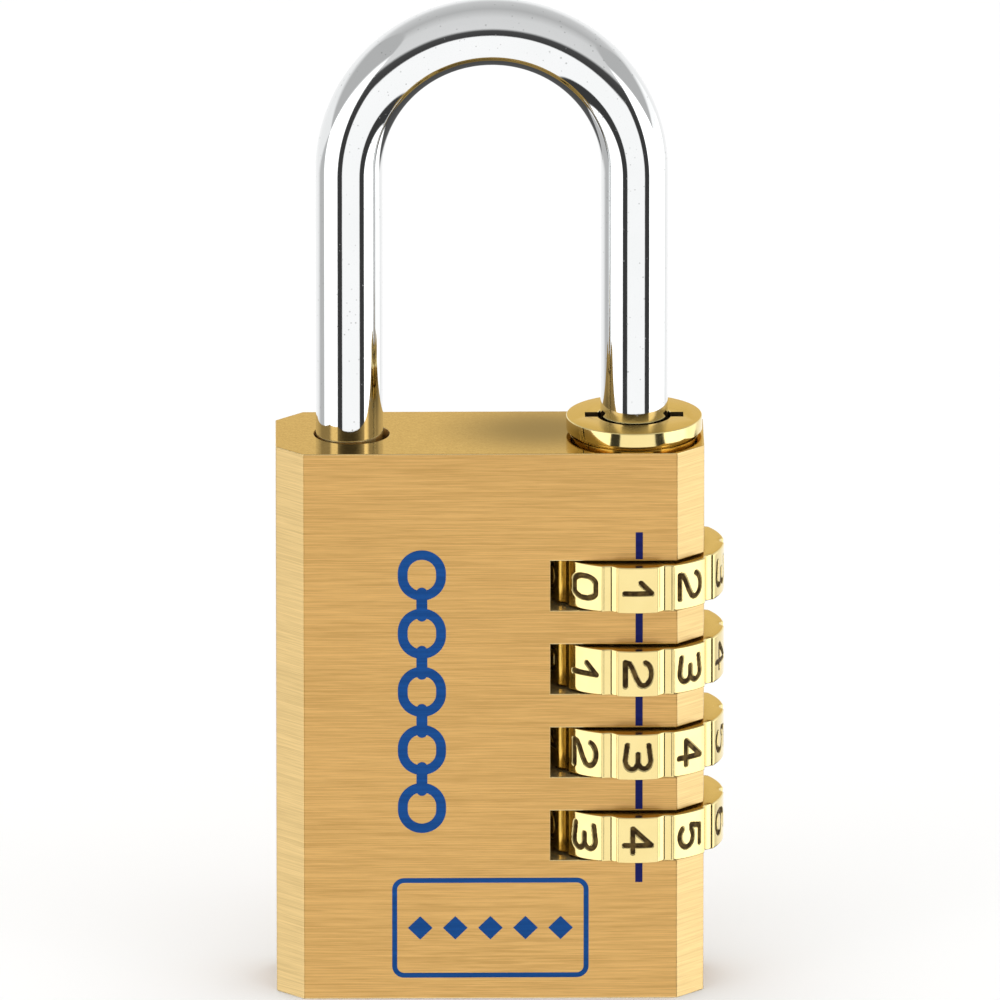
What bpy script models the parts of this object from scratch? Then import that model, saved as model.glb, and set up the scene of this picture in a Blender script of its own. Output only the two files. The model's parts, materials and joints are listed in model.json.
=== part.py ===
"""Four-wheel combination padlock: solid brass body, round steel shackle and a row of number
wheels on the shackle's long leg. Metres, +Z up. The origin is the middle of the flat base,
the front face looks to -Y and the number wheels are on the +X side.
"""
import math

import bmesh
import bpy
from mathutils import Matrix, Vector

MM = 0.001

# Body block. Its depth follows from the works inside it.
BODY_WIDTH = 40.0 * MM
BODY_HEIGHT = 53.4 * MM
CORNER_CHAMFER = 2.55 * MM
FLOOR_THICKNESS = 4.0 * MM        # solid brass below the bore
WALL_BESIDE_COLLAR = 0.8 * MM

# Shackle
BAR_DIAMETER = 6.3 * MM
TOE_FROM_SIDE = 6.9 * MM          # short leg's centre to the body's left side
ARCH_ABOVE_BODY = 39.1 * MM       # bar's centre line at the top of the arch
TOE_CLEAR_WHEN_OPEN = 0.96 * MM   # gap under the short leg with the shackle up
TOE_HOLE_OFFSET = 0.2 * MM        # the hole's centre lies this far inboard of the leg's

# Number wheels
WHEEL_COUNT = 4
WHEEL_THICKNESS = 4.45 * MM
WHEEL_PROUD_OF_FACE = 1.75 * MM   # rim beyond the front and back faces
WHEEL_PROUD_OF_SIDE = 2.0 * MM
WHEEL_BELOW_BUSH_TOP = 4.75 * MM
DIGITS = 10
GROOVE_WIDTH = 1.5 * MM           # finger grooves between the digits
GROOVE_DEPTH = 0.4 * MM
RIM_CHAMFER = 0.35 * MM
SLOT_CUTTER_RADIUS = 25.0 * MM    # the slots are cut from the right side by a disc cutter

# Code bushes, which carry the gates and take their drive from the wheels
BUSH_WALL = 0.6 * MM
GATE_FLANGE = 1.4 * MM
CODE_SHIFT = 1.5 * MM             # downward travel that frees the bushes from the wheels
TOOTH_REACH = 0.5 * MM
TOOTH_WIDTH = 1.3 * MM
TOOTH_BELOW_WHEEL_TOP = 0.15 * MM

# Locking spindle on the long leg
SPINDLE_RADIUS = 2.3 * MM
FIN_CATCH = 0.65 * MM             # how far a fin reaches under the collar
FIN_WIDTH = 2.0 * MM
FIN_HEIGHT = 1.6 * MM
TENON_RADIUS = 1.75 * MM
TENON_LENGTH = 6.0 * MM
SPINDLE_TAIL = 1.2 * MM           # spindle below its lowest fin

# Retaining collar around the long leg
FLANGE_OVERHANG = 0.6 * MM
FLANGE_THICKNESS = 1.35 * MM
FLANGE_LIFT = 0.4 * MM            # shadow gap between body and flange
FLANGE_EDGE_BREAK = 0.25 * MM
NECK_DEPTH = 3.0 * MM
SPANNER_SLOT_WIDTH = 1.5 * MM
SPANNER_SLOT_LENGTH = 1.15 * MM   # outward from the collar's bore
SPANNER_SLOT_DEPTH = 0.9 * MM

# Springs, washer and detents
WASHER_THICKNESS = 0.8 * MM
WASHER_BORE_RADIUS = 3.0 * MM
RETURN_SPRING_LENGTH = 7.5 * MM
RETURN_WIRE = 0.8 * MM
RETURN_TURNS = 4
BALL_RADIUS = 0.9 * MM
BALL_STANDOFF = 0.15 * MM         # ball's tip to the wheel's rim while a wheel turns
DETENT_WIRE = 0.28 * MM
DETENT_SPRING_LENGTH = 3.6 * MM
DETENT_TURNS = 4

# Clearances
RUNNING_GAP = 0.25 * MM           # between turned pieces and their bores
SEAT_GAP = 0.2 * MM               # between faces that rest on each other
FIT_GAP = 0.3 * MM                # between sliding pieces
SLOT_SIDE_GAP = 0.2 * MM          # above and below each wheel
SLOT_END_GAP = 0.36 * MM          # between a wheel's rim and the closed end of its slot
TOE_HOLE_GAP = 0.39 * MM
TOE_HOLE_BOTTOM_GAP = 1.0 * MM
CUT_PAST = 2.0 * MM               # how far cutters run past the faces they open

# Facets
ROUND_STEPS = 48
SMALL_STEPS = 32
BALL_STEPS = 12
WHEEL_STEPS = 40
SLOT_STEPS = 96
ARCH_STEPS = 26
BAR_RESOLUTION = 10               # 24 sides
RETURN_STEPS = 12
DETENT_STEPS = 8
MERGE_DISTANCE = 0.00001
SMOOTH_ANGLE = math.radians(40)

# Radii, from the shackle's bar outwards
BAR_RADIUS = BAR_DIAMETER / 2
COLLAR_BORE_RADIUS = BAR_RADIUS + FIT_GAP
FIN_REACH = COLLAR_BORE_RADIUS + FIN_CATCH
SKIRT_BORE_RADIUS = FIN_REACH + FIT_GAP
BUSH_RADIUS = SKIRT_BORE_RADIUS + BUSH_WALL
BORE_RADIUS = BUSH_RADIUS + RUNNING_GAP
TOOTH_TIP = BUSH_RADIUS + TOOTH_REACH
KEYWAY_RADIUS = TOOTH_TIP + RUNNING_GAP
NECK_RADIUS = KEYWAY_RADIUS
NECK_HOLE_RADIUS = NECK_RADIUS + SEAT_GAP
COLLAR_RADIUS = NECK_RADIUS + FLANGE_OVERHANG
BODY_DEPTH = 2 * (NECK_HOLE_RADIUS + WALL_BESIDE_COLLAR)
WHEEL_RADIUS = BODY_DEPTH / 2 + WHEEL_PROUD_OF_FACE
KEYWAY_WIDTH = TOOTH_WIDTH + 2 * RUNNING_GAP

# Places across the body
HEEL_X = BODY_WIDTH / 2 + WHEEL_PROUD_OF_SIDE - WHEEL_RADIUS
TOE_X = -BODY_WIDTH / 2 + TOE_FROM_SIDE
SLOT_END_X = HEEL_X - WHEEL_RADIUS - SLOT_END_GAP
BALL_X = HEEL_X - WHEEL_RADIUS - BALL_STANDOFF - BALL_RADIUS
DETENT_SPRING_X = BALL_X - BALL_RADIUS - SEAT_GAP - DETENT_SPRING_LENGTH

# Heights. The four bushes and their wheels share out what the other pieces leave of the
# bore, and the shackle lifts by one wheel pitch, so its fins end up between the gates again.
BUSH_END_GAP = FIT_GAP
FIN_BELOW_FLANGE = CODE_SHIFT + FIT_GAP
TOP_ROOM = NECK_DEPTH + SEAT_GAP - FIN_BELOW_FLANGE - GATE_FLANGE
BOTTOM_ROOM = WASHER_THICKNESS + RETURN_SPRING_LENGTH + 3 * SEAT_GAP - BUSH_END_GAP
WHEEL_PITCH = (BODY_HEIGHT - TOP_ROOM - BOTTOM_ROOM - FLOOR_THICKNESS) / (WHEEL_COUNT + 1)
LIFT_TRAVEL = WHEEL_PITCH
BUSH_LENGTH = WHEEL_PITCH - BUSH_END_GAP
NECK_BOTTOM_Z = BODY_HEIGHT - NECK_DEPTH
TOP_FIN_Z = NECK_BOTTOM_Z - SEAT_GAP - LIFT_TRAVEL
BUSH_TOPS = [TOP_FIN_Z + FIN_BELOW_FLANGE + GATE_FLANGE - index * WHEEL_PITCH
             for index in range(WHEEL_COUNT)]
WHEEL_ZS = [top - WHEEL_BELOW_BUSH_TOP for top in BUSH_TOPS]
SLOT_HEIGHT = WHEEL_THICKNESS + 2 * SLOT_SIDE_GAP
LEG_END_Z = BUSH_TOPS[0] + FIT_GAP
WASHER_TOP = BUSH_TOPS[-1] - BUSH_LENGTH - SEAT_GAP
SPRING_TOP = WASHER_TOP - WASHER_THICKNESS - SEAT_GAP
TOE_Z = BODY_HEIGHT - LIFT_TRAVEL + TOE_CLEAR_WHEN_OPEN
FLANGE_BOTTOM_Z = BODY_HEIGHT + FLANGE_LIFT
FLANGE_TOP_Z = FLANGE_BOTTOM_Z + FLANGE_THICKNESS
TOOTH_HEIGHT = CODE_SHIFT - FIT_GAP
NOTCH_DEPTH = TOOTH_BELOW_WHEEL_TOP + TOOTH_HEIGHT + SEAT_GAP

BRASS = ("brushed_brass", (0.74, 0.50, 0.20), 0.34, 1.0)
POLISHED_BRASS = ("polished_brass", (0.90, 0.70, 0.33), 0.16, 1.0)
CHROME = ("chrome_plate", (0.80, 0.80, 0.81), 0.08, 1.0)
STEEL = ("zinc_plated_steel", (0.56, 0.57, 0.58), 0.30, 1.0)
SPRING_STEEL = ("spring_steel", (0.34, 0.34, 0.36), 0.35, 1.0)


def clear_scene():
    for item in list(bpy.data.objects):
        bpy.data.objects.remove(item, do_unlink=True)


def make_collection(name):
    collection = bpy.data.collections.new(name)
    bpy.context.scene.collection.children.link(collection)
    return collection


def make_material(name, colour, roughness, metallic):
    material = bpy.data.materials.new(name)
    material.use_nodes = True
    shader = material.node_tree.nodes["Principled BSDF"]
    shader.inputs["Base Color"].default_value = (*colour, 1.0)
    shader.inputs["Roughness"].default_value = roughness
    shader.inputs["Metallic"].default_value = metallic
    return material


def add_part(name, data, finish, place):
    """A visible piece of the padlock, with a material of its own."""
    finish_name, colour, roughness, metallic = finish
    data.materials.append(make_material(f"{name}_{finish_name}", colour, roughness, metallic))
    part = bpy.data.objects.new(name, data)
    part.location = place
    parts.objects.link(part)
    return part


def shape_with(part, data, place, operation="DIFFERENCE"):
    """Cuts or joins a hidden shape, named as its mesh is, into a part."""
    tool = bpy.data.objects.new(data.name, data)
    tool.location = place
    tool.hide_render = True
    tool.display_type = "WIRE"
    cutters.objects.link(tool)
    boolean = part.modifiers.new(data.name, "BOOLEAN")
    boolean.operation = operation
    boolean.object = tool
    boolean.solver = "EXACT"
    return tool


def turn_round(item, steps):
    turning = item.modifiers.new("turned", "SCREW")
    turning.axis = "Z"
    turning.angle = math.tau
    turning.steps = steps
    turning.render_steps = steps
    turning.use_merge_vertices = True
    turning.merge_threshold = MERGE_DISTANCE
    turning.use_smooth_shade = True


def profile_mesh(name, profile, ring=False):
    """The line of a turned profile, (radius, height) points running down the outer side."""
    mesh = bpy.data.meshes.new(name)
    points = [(radius, 0.0, height) for radius, height in profile]
    edges = [(index, index + 1) for index in range(len(points) - 1)]
    if ring:
        edges.append((len(points) - 1, 0))
    mesh.from_pydata(points, edges, [])
    return mesh


def box_mesh(name, low, high):
    low, high = Vector(low), Vector(high)
    matrix = Matrix.Translation((low + high) / 2) @ Matrix.Diagonal((*(high - low), 1.0))
    mesh = bpy.data.meshes.new(name)
    work = bmesh.new()
    bmesh.ops.create_cube(work, size=1.0, matrix=matrix)
    work.to_mesh(mesh)
    work.free()
    return mesh


def rod_mesh(name, radius, start, end, axis="Z", steps=SMALL_STEPS):
    """A plain cylinder between two places along the Z or X axis."""
    middle = (start + end) / 2
    matrix = Matrix.Translation((0.0, 0.0, middle))
    if axis == "X":
        matrix = Matrix.Translation((middle, 0.0, 0.0)) @ Matrix.Rotation(math.pi / 2, 4, "Y")
    mesh = bpy.data.meshes.new(name)
    work = bmesh.new()
    bmesh.ops.create_cone(work, cap_ends=True, segments=steps, radius1=radius,
                          radius2=radius, depth=end - start, matrix=matrix)
    work.to_mesh(mesh)
    work.free()
    mesh.shade_smooth()
    mesh.set_sharp_from_angle(angle=SMOOTH_ANGLE)
    return mesh


def spokes_mesh(name, inner, outer, width, low, high):
    """One box for each digit, evenly spaced around Z. The first one points to -X."""
    size = (outer - inner, width, high - low)
    middle = Vector(((inner + outer) / 2, 0.0, (low + high) / 2))
    mesh = bpy.data.meshes.new(name)
    work = bmesh.new()
    for index in range(DIGITS):
        turn = Matrix.Rotation(math.pi + index * math.tau / DIGITS, 4, "Z")
        matrix = turn @ Matrix.Translation(middle) @ Matrix.Diagonal((*size, 1.0))
        bmesh.ops.create_cube(work, size=1.0, matrix=matrix)
    work.to_mesh(mesh)
    work.free()
    return mesh


def coil_curve(name, radius, wire, length, turns, steps):
    """A coil spring that stands on its own origin along +Z."""
    curve = bpy.data.curves.new(name, "CURVE")
    curve.dimensions = "3D"
    curve.bevel_depth = wire / 2
    curve.bevel_resolution = 2
    curve.use_fill_caps = True
    last = turns * steps
    spline = curve.splines.new("POLY")
    spline.points.add(last)
    for index, point in enumerate(spline.points):
        angle = index * math.tau / steps
        height = wire / 2 + (length - wire) * index / last
        point.co = (radius * math.cos(angle), radius * math.sin(angle), height, 1.0)
    return curve


def make_body():
    size = (BODY_WIDTH, BODY_DEPTH, BODY_HEIGHT)
    matrix = Matrix.Translation((0.0, 0.0, BODY_HEIGHT / 2)) @ Matrix.Diagonal((*size, 1.0))
    mesh = bpy.data.meshes.new("lock_body")
    work = bmesh.new()
    bmesh.ops.create_cube(work, size=1.0, matrix=matrix)
    corners = [edge for edge in work.edges
               if abs(edge.verts[0].co.z - edge.verts[1].co.z) > BODY_HEIGHT / 2]
    bmesh.ops.bevel(work, geom=corners, offset=CORNER_CHAMFER, segments=1, profile=0.5,
                    affect="EDGES", offset_type="OFFSET", material=-1)
    work.to_mesh(mesh)
    work.free()
    body = add_part("lock_body", mesh, BRASS, (0.0, 0.0, 0.0))

    heel_bore = shape_with(body, profile_mesh("cut_heel_bore", [
        (0.0, BODY_HEIGHT + CUT_PAST),
        (NECK_HOLE_RADIUS, BODY_HEIGHT + CUT_PAST),
        (NECK_HOLE_RADIUS, NECK_BOTTOM_Z - SEAT_GAP),
        (BORE_RADIUS, NECK_BOTTOM_Z - SEAT_GAP),
        (BORE_RADIUS, FLOOR_THICKNESS),
        (0.0, FLOOR_THICKNESS),
    ]), (HEEL_X, 0.0, 0.0))
    turn_round(heel_bore, ROUND_STEPS)

    # The bushes' drive teeth go down this keyway when the lock is put together.
    shape_with(body, box_mesh(
        "cut_keyway",
        (-KEYWAY_RADIUS, -KEYWAY_WIDTH / 2, WHEEL_ZS[-1]),
        (0.0, KEYWAY_WIDTH / 2, BODY_HEIGHT + CUT_PAST)), (HEEL_X, 0.0, 0.0))

    shape_with(body, rod_mesh(
        "cut_toe_hole", BAR_RADIUS + TOE_HOLE_GAP, TOE_Z - TOE_HOLE_BOTTOM_GAP,
        BODY_HEIGHT + CUT_PAST, steps=ROUND_STEPS), (TOE_X + TOE_HOLE_OFFSET, 0.0, 0.0))

    for number, height in enumerate(WHEEL_ZS, start=1):
        shape_with(body, rod_mesh(
            f"cut_wheel_slot_{number}", SLOT_CUTTER_RADIUS, -SLOT_HEIGHT / 2, SLOT_HEIGHT / 2,
            steps=SLOT_STEPS), (SLOT_END_X + SLOT_CUTTER_RADIUS, 0.0, height))
        shape_with(body, rod_mesh(
            f"cut_detent_pocket_{number}", BALL_RADIUS + SEAT_GAP,
            DETENT_SPRING_X - SEAT_GAP, SLOT_END_X + CUT_PAST,
            axis="X", steps=SMALL_STEPS // 2), (0.0, 0.0, height))


def make_shackle():
    bend_radius = (HEEL_X - TOE_X) / 2
    middle_x = (HEEL_X + TOE_X) / 2
    bend_z = BODY_HEIGHT + ARCH_ABOVE_BODY - bend_radius
    points = [(TOE_X, TOE_Z)]
    for index in range(ARCH_STEPS + 1):
        angle = math.pi - index * math.pi / ARCH_STEPS
        points.append((middle_x + bend_radius * math.cos(angle),
                       bend_z + bend_radius * math.sin(angle)))
    points.append((HEEL_X, LEG_END_Z))
    curve = bpy.data.curves.new("shackle_path", "CURVE")
    curve.dimensions = "3D"
    curve.bevel_depth = BAR_RADIUS
    curve.bevel_resolution = BAR_RESOLUTION
    curve.use_fill_caps = True
    spline = curve.splines.new("POLY")
    spline.points.add(len(points) - 1)
    for point, (x, z) in zip(spline.points, points):
        point.co = (x, 0.0, z, 1.0)
    path = bpy.data.objects.new("shackle_path", curve)
    cutters.objects.link(path)

    # The bar is bored for the spindle's tenon, so the curve is turned into a mesh first.
    bpy.context.view_layer.update()
    evaluated = path.evaluated_get(bpy.context.evaluated_depsgraph_get())
    mesh = bpy.data.meshes.new_from_object(evaluated)
    mesh.name = "shackle"
    work = bmesh.new()
    work.from_mesh(mesh)
    bmesh.ops.remove_doubles(work, verts=work.verts, dist=MERGE_DISTANCE)
    work.to_mesh(mesh)
    work.free()
    mesh.shade_smooth()
    mesh.set_sharp_from_angle(angle=SMOOTH_ANGLE)
    shackle = add_part("shackle", mesh, CHROME, (0.0, 0.0, 0.0))
    shackle.matrix_world = path.matrix_world
    bpy.data.objects.remove(path, do_unlink=True)
    shape_with(shackle, rod_mesh(
        "cut_tenon_hole", TENON_RADIUS + SEAT_GAP, LEG_END_Z - CUT_PAST,
        LEG_END_Z + TENON_LENGTH + SEAT_GAP), (HEEL_X, 0.0, 0.0))


def make_spindle():
    """The finned spindle in the long leg. Each fin passes the gate of one bush."""
    fin_tops = [TOP_FIN_Z - index * WHEEL_PITCH for index in range(WHEEL_COUNT)]
    tail_z = fin_tops[-1] - FIN_HEIGHT - SPINDLE_TAIL
    spindle = add_part("locking_spindle", profile_mesh("locking_spindle", [
        (0.0, LEG_END_Z + TENON_LENGTH),
        (TENON_RADIUS, LEG_END_Z + TENON_LENGTH),
        (TENON_RADIUS, LEG_END_Z - SEAT_GAP),
        (SPINDLE_RADIUS, LEG_END_Z - SEAT_GAP),
        (SPINDLE_RADIUS, tail_z),
        (0.0, tail_z),
    ]), STEEL, (HEEL_X, 0.0, 0.0))
    turn_round(spindle, SMALL_STEPS)
    for number, top in enumerate(fin_tops, start=1):
        shape_with(spindle, box_mesh(
            f"join_fin_{number}",
            (-FIN_REACH, -FIN_WIDTH / 2, top - FIN_HEIGHT),
            (0.0, FIN_WIDTH / 2, top)), (HEEL_X, 0.0, 0.0), "UNION")


def make_collar():
    collar = add_part("retaining_collar", profile_mesh("retaining_collar", [
        (COLLAR_RADIUS - FLANGE_EDGE_BREAK, FLANGE_TOP_Z),
        (COLLAR_RADIUS, FLANGE_TOP_Z - FLANGE_EDGE_BREAK),
        (COLLAR_RADIUS, FLANGE_BOTTOM_Z),
        (NECK_RADIUS, FLANGE_BOTTOM_Z),
        (NECK_RADIUS, NECK_BOTTOM_Z),
        (COLLAR_BORE_RADIUS, NECK_BOTTOM_Z),
        (COLLAR_BORE_RADIUS, FLANGE_TOP_Z - FLANGE_EDGE_BREAK),
        (COLLAR_BORE_RADIUS + FLANGE_EDGE_BREAK, FLANGE_TOP_Z),
    ], ring=True), POLISHED_BRASS, (HEEL_X, 0.0, 0.0))
    turn_round(collar, ROUND_STEPS)
    reach = COLLAR_BORE_RADIUS + SPANNER_SLOT_LENGTH
    shape_with(collar, box_mesh(
        "cut_spanner_slots",
        (-reach, -SPANNER_SLOT_WIDTH / 2, FLANGE_TOP_Z - SPANNER_SLOT_DEPTH),
        (reach, SPANNER_SLOT_WIDTH / 2, FLANGE_TOP_Z + CUT_PAST)), (HEEL_X, 0.0, 0.0))


def make_wheel(number, height):
    """A number wheel. Its drive notches are cut in the upper part of its bore only."""
    half = WHEEL_THICKNESS / 2
    notch_floor = half - NOTCH_DEPTH
    relief_radius = KEYWAY_RADIUS + SEAT_GAP
    name = f"number_wheel_{number}"
    place = (HEEL_X, 0.0, height)
    wheel = add_part(name, profile_mesh(name, [
        (WHEEL_RADIUS - RIM_CHAMFER, half),
        (WHEEL_RADIUS, half - RIM_CHAMFER),
        (WHEEL_RADIUS, -half + RIM_CHAMFER),
        (WHEEL_RADIUS - RIM_CHAMFER, -half),
        (relief_radius, -half),
        (relief_radius, notch_floor),
        (BORE_RADIUS, notch_floor),
        (BORE_RADIUS, half),
    ], ring=True), POLISHED_BRASS, place)
    turn_round(wheel, WHEEL_STEPS)
    shape_with(wheel, spokes_mesh(
        f"cut_grooves_{number}", WHEEL_RADIUS - GROOVE_DEPTH, WHEEL_RADIUS + CUT_PAST,
        GROOVE_WIDTH, -WHEEL_THICKNESS, WHEEL_THICKNESS), place)
    shape_with(wheel, spokes_mesh(
        f"cut_notches_{number}", BUSH_RADIUS - FIT_GAP, KEYWAY_RADIUS, KEYWAY_WIDTH,
        notch_floor - FIT_GAP, WHEEL_THICKNESS), place)


def make_bush(number, top, wheel_height):
    """A code bush: a sleeve with a gated flange on top and one drive tooth for its wheel."""
    name = f"code_bush_{number}"
    place = (HEEL_X, 0.0, top)
    bush = add_part(name, profile_mesh(name, [
        (BUSH_RADIUS, 0.0),
        (BUSH_RADIUS, -BUSH_LENGTH),
        (SKIRT_BORE_RADIUS, -BUSH_LENGTH),
        (SKIRT_BORE_RADIUS, -GATE_FLANGE),
        (SPINDLE_RADIUS + FIT_GAP, -GATE_FLANGE),
        (SPINDLE_RADIUS + FIT_GAP, 0.0),
    ], ring=True), STEEL, place)
    turn_round(bush, SMALL_STEPS)
    shape_with(bush, box_mesh(
        f"cut_gate_{number}",
        (-SKIRT_BORE_RADIUS, -FIN_WIDTH / 2 - SEAT_GAP, -GATE_FLANGE - FIT_GAP),
        (0.0, FIN_WIDTH / 2 + SEAT_GAP, CUT_PAST)), place)
    tooth_top = wheel_height + WHEEL_THICKNESS / 2 - TOOTH_BELOW_WHEEL_TOP - top
    shape_with(bush, box_mesh(
        f"join_tooth_{number}",
        (-TOOTH_TIP, -TOOTH_WIDTH / 2, tooth_top - TOOTH_HEIGHT),
        (-BUSH_RADIUS + BUSH_WALL / 2, TOOTH_WIDTH / 2, tooth_top)), place, "UNION")


def make_washer():
    washer = add_part("thrust_washer", profile_mesh("thrust_washer", [
        (BUSH_RADIUS, WASHER_TOP),
        (BUSH_RADIUS, WASHER_TOP - WASHER_THICKNESS),
        (WASHER_BORE_RADIUS, WASHER_TOP - WASHER_THICKNESS),
        (WASHER_BORE_RADIUS, WASHER_TOP),
    ], ring=True), STEEL, (HEEL_X, 0.0, 0.0))
    turn_round(washer, SMALL_STEPS)


def make_return_spring():
    coil_radius = BUSH_RADIUS - RETURN_WIRE / 2 - SEAT_GAP
    add_part("bush_return_spring", coil_curve(
        "bush_return_spring", coil_radius, RETURN_WIRE, RETURN_SPRING_LENGTH, RETURN_TURNS,
        RETURN_STEPS), SPRING_STEEL, (HEEL_X, 0.0, SPRING_TOP - RETURN_SPRING_LENGTH))


def make_detent(number, height):
    """A sprung ball that clicks into the wheel's grooves from the end of its slot."""
    mesh = bpy.data.meshes.new(f"detent_ball_{number}")
    work = bmesh.new()
    bmesh.ops.create_uvsphere(work, u_segments=BALL_STEPS, v_segments=BALL_STEPS // 2 + 2,
                              radius=BALL_RADIUS)
    work.to_mesh(mesh)
    work.free()
    mesh.shade_smooth()
    add_part(f"detent_ball_{number}", mesh, STEEL, (BALL_X, 0.0, height))

    coil_radius = BALL_RADIUS - (DETENT_WIRE + SEAT_GAP) / 2
    spring = add_part(f"detent_spring_{number}", coil_curve(
        f"detent_spring_{number}", coil_radius, DETENT_WIRE, DETENT_SPRING_LENGTH,
        DETENT_TURNS, DETENT_STEPS), SPRING_STEEL, (DETENT_SPRING_X, 0.0, height))
    spring.rotation_euler = (0.0, math.pi / 2, 0.0)


clear_scene()
parts = make_collection("combination_padlock")
cutters = make_collection("cutters")
make_body()
make_shackle()
make_spindle()
make_collar()
for wheel_number, (bush_top, wheel_z) in enumerate(zip(BUSH_TOPS, WHEEL_ZS), start=1):
    make_wheel(wheel_number, wheel_z)
    make_bush(wheel_number, bush_top, wheel_z)
    make_detent(wheel_number, wheel_z)
make_washer()
make_return_spring()
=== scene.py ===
import json
import math

import bmesh
import bpy
import numpy as np
from mathutils import Matrix, Vector

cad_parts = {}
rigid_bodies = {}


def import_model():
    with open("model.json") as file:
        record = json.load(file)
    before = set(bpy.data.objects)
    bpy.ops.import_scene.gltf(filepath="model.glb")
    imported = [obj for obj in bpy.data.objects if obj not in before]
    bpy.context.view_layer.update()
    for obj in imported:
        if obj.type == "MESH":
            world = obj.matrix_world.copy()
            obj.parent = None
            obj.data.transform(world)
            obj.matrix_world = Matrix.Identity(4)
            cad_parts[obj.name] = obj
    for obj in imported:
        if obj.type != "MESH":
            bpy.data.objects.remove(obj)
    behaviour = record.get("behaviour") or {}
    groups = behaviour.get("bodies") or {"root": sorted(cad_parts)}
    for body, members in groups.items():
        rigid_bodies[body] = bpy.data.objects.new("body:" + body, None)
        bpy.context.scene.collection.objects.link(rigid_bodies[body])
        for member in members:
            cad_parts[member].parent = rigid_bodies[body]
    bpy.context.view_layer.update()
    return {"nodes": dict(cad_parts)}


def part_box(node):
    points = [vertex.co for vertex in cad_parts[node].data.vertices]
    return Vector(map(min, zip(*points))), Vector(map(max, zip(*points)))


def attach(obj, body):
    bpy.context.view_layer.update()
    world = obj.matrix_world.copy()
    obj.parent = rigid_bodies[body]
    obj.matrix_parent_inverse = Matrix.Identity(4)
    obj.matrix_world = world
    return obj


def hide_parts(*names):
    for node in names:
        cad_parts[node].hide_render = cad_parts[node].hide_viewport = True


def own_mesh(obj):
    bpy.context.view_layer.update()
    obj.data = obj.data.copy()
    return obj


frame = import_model()
mm = 0.001
print("frame loaded:", len(frame["nodes"]), "nodes")

bodyLow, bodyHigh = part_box("lock_body")
collarLow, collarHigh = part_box("retaining_collar")
shackleLow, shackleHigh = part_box("shackle")
heelX = (collarLow.x + collarHigh.x) / 2          # axis of the wheels and of the long leg


def tempObject(name, bm):
    mesh = bpy.data.meshes.new(name)
    bm.to_mesh(mesh)
    item = bpy.data.objects.new(name, mesh)
    bpy.context.scene.collection.objects.link(item)
    return item


def cutAway(bm, cutters):
    # every cutter's volume is taken out of bm
    blank = tempObject("blank", bm)
    tools = []
    for number, cutter in enumerate(cutters):
        bmesh.ops.recalc_face_normals(cutter, faces=cutter.faces)
        tool = tempObject(f"cutter{number}", cutter)
        cutter.free()
        tools.append(tool)
        cut = blank.modifiers.new(f"cut{number}", "BOOLEAN")
        cut.object = tool
        cut.solver = "EXACT"
    bpy.context.view_layer.update()
    evaluated = blank.evaluated_get(bpy.context.evaluated_depsgraph_get())
    mesh = bpy.data.meshes.new_from_object(evaluated)
    bm.clear()
    bm.from_mesh(mesh)
    for item in [blank] + tools:
        old = item.data
        bpy.data.objects.remove(item)
        bpy.data.meshes.remove(old)
    bpy.data.meshes.remove(mesh)
    bmesh.ops.remove_doubles(bm, verts=bm.verts, dist=0.002 * mm)
    bmesh.ops.dissolve_limit(bm, angle_limit=math.radians(0.4), verts=bm.verts, edges=bm.edges,
                             delimit={"MATERIAL"})


def rod(radius, start, end, steps=96):
    # a plain closed cylinder between two points
    bm = bmesh.new()
    along = Vector(end) - Vector(start)
    turn = along.to_track_quat("Z", "Y").to_matrix().to_4x4()
    place = Matrix.Translation((Vector(start) + Vector(end)) / 2) @ turn
    bmesh.ops.create_cone(bm, cap_ends=True, segments=steps, radius1=radius, radius2=radius,
                          depth=along.length, matrix=place)
    return bm


def block(low, high):
    bm = bmesh.new()
    low, high = Vector(low), Vector(high)
    place = Matrix.Translation((low + high) / 2) @ Matrix.Diagonal((*(high - low), 1))
    bmesh.ops.create_cube(bm, size=1, matrix=place)
    return bm


def soften(bm, edges, width, steps=2):
    bmesh.ops.bevel(bm, geom=edges, offset=width, offset_type="OFFSET", affect="EDGES",
                    segments=steps, profile=0.5, material=-1, clamp_overlap=True)


def turned(outline, axisX, steps):
    # spins a closed outline of (radius, height) points round the upright axis at axisX
    bm = bmesh.new()
    ring = [bm.verts.new((axisX + radius, 0, height)) for radius, height in outline]
    edges = [bm.edges.new((ring[i - 1], ring[i])) for i in range(len(ring))]
    bmesh.ops.spin(bm, geom=ring + edges, cent=(axisX, 0, 0), axis=(0, 0, 1), angle=2 * math.pi,
                   steps=steps, use_merge=True)
    bmesh.ops.remove_doubles(bm, verts=bm.verts, dist=0.001 * mm)
    return bm


def addPiece(name, bm, skins, body, standsFor=(), sharpAngle=35, flatOver=None):
    # skins are names in finishes; faces larger than flatOver are shaded flat
    bmesh.ops.recalc_face_normals(bm, faces=bm.faces)
    mesh = bpy.data.meshes.new(name)
    bm.to_mesh(mesh)
    bm.free()
    for skin in skins:
        mesh.materials.append(finishes[skin])
    mesh.shade_smooth()
    mesh.set_sharp_from_angle(angle=math.radians(sharpAngle))
    if flatOver:
        for face in mesh.polygons:
            face.use_smooth = face.area < flatOver
    piece = bpy.data.objects.new(name, mesh)
    bpy.context.scene.collection.objects.link(piece)
    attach(piece, body)
    if standsFor:
        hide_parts(*standsFor)
    return piece


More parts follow.
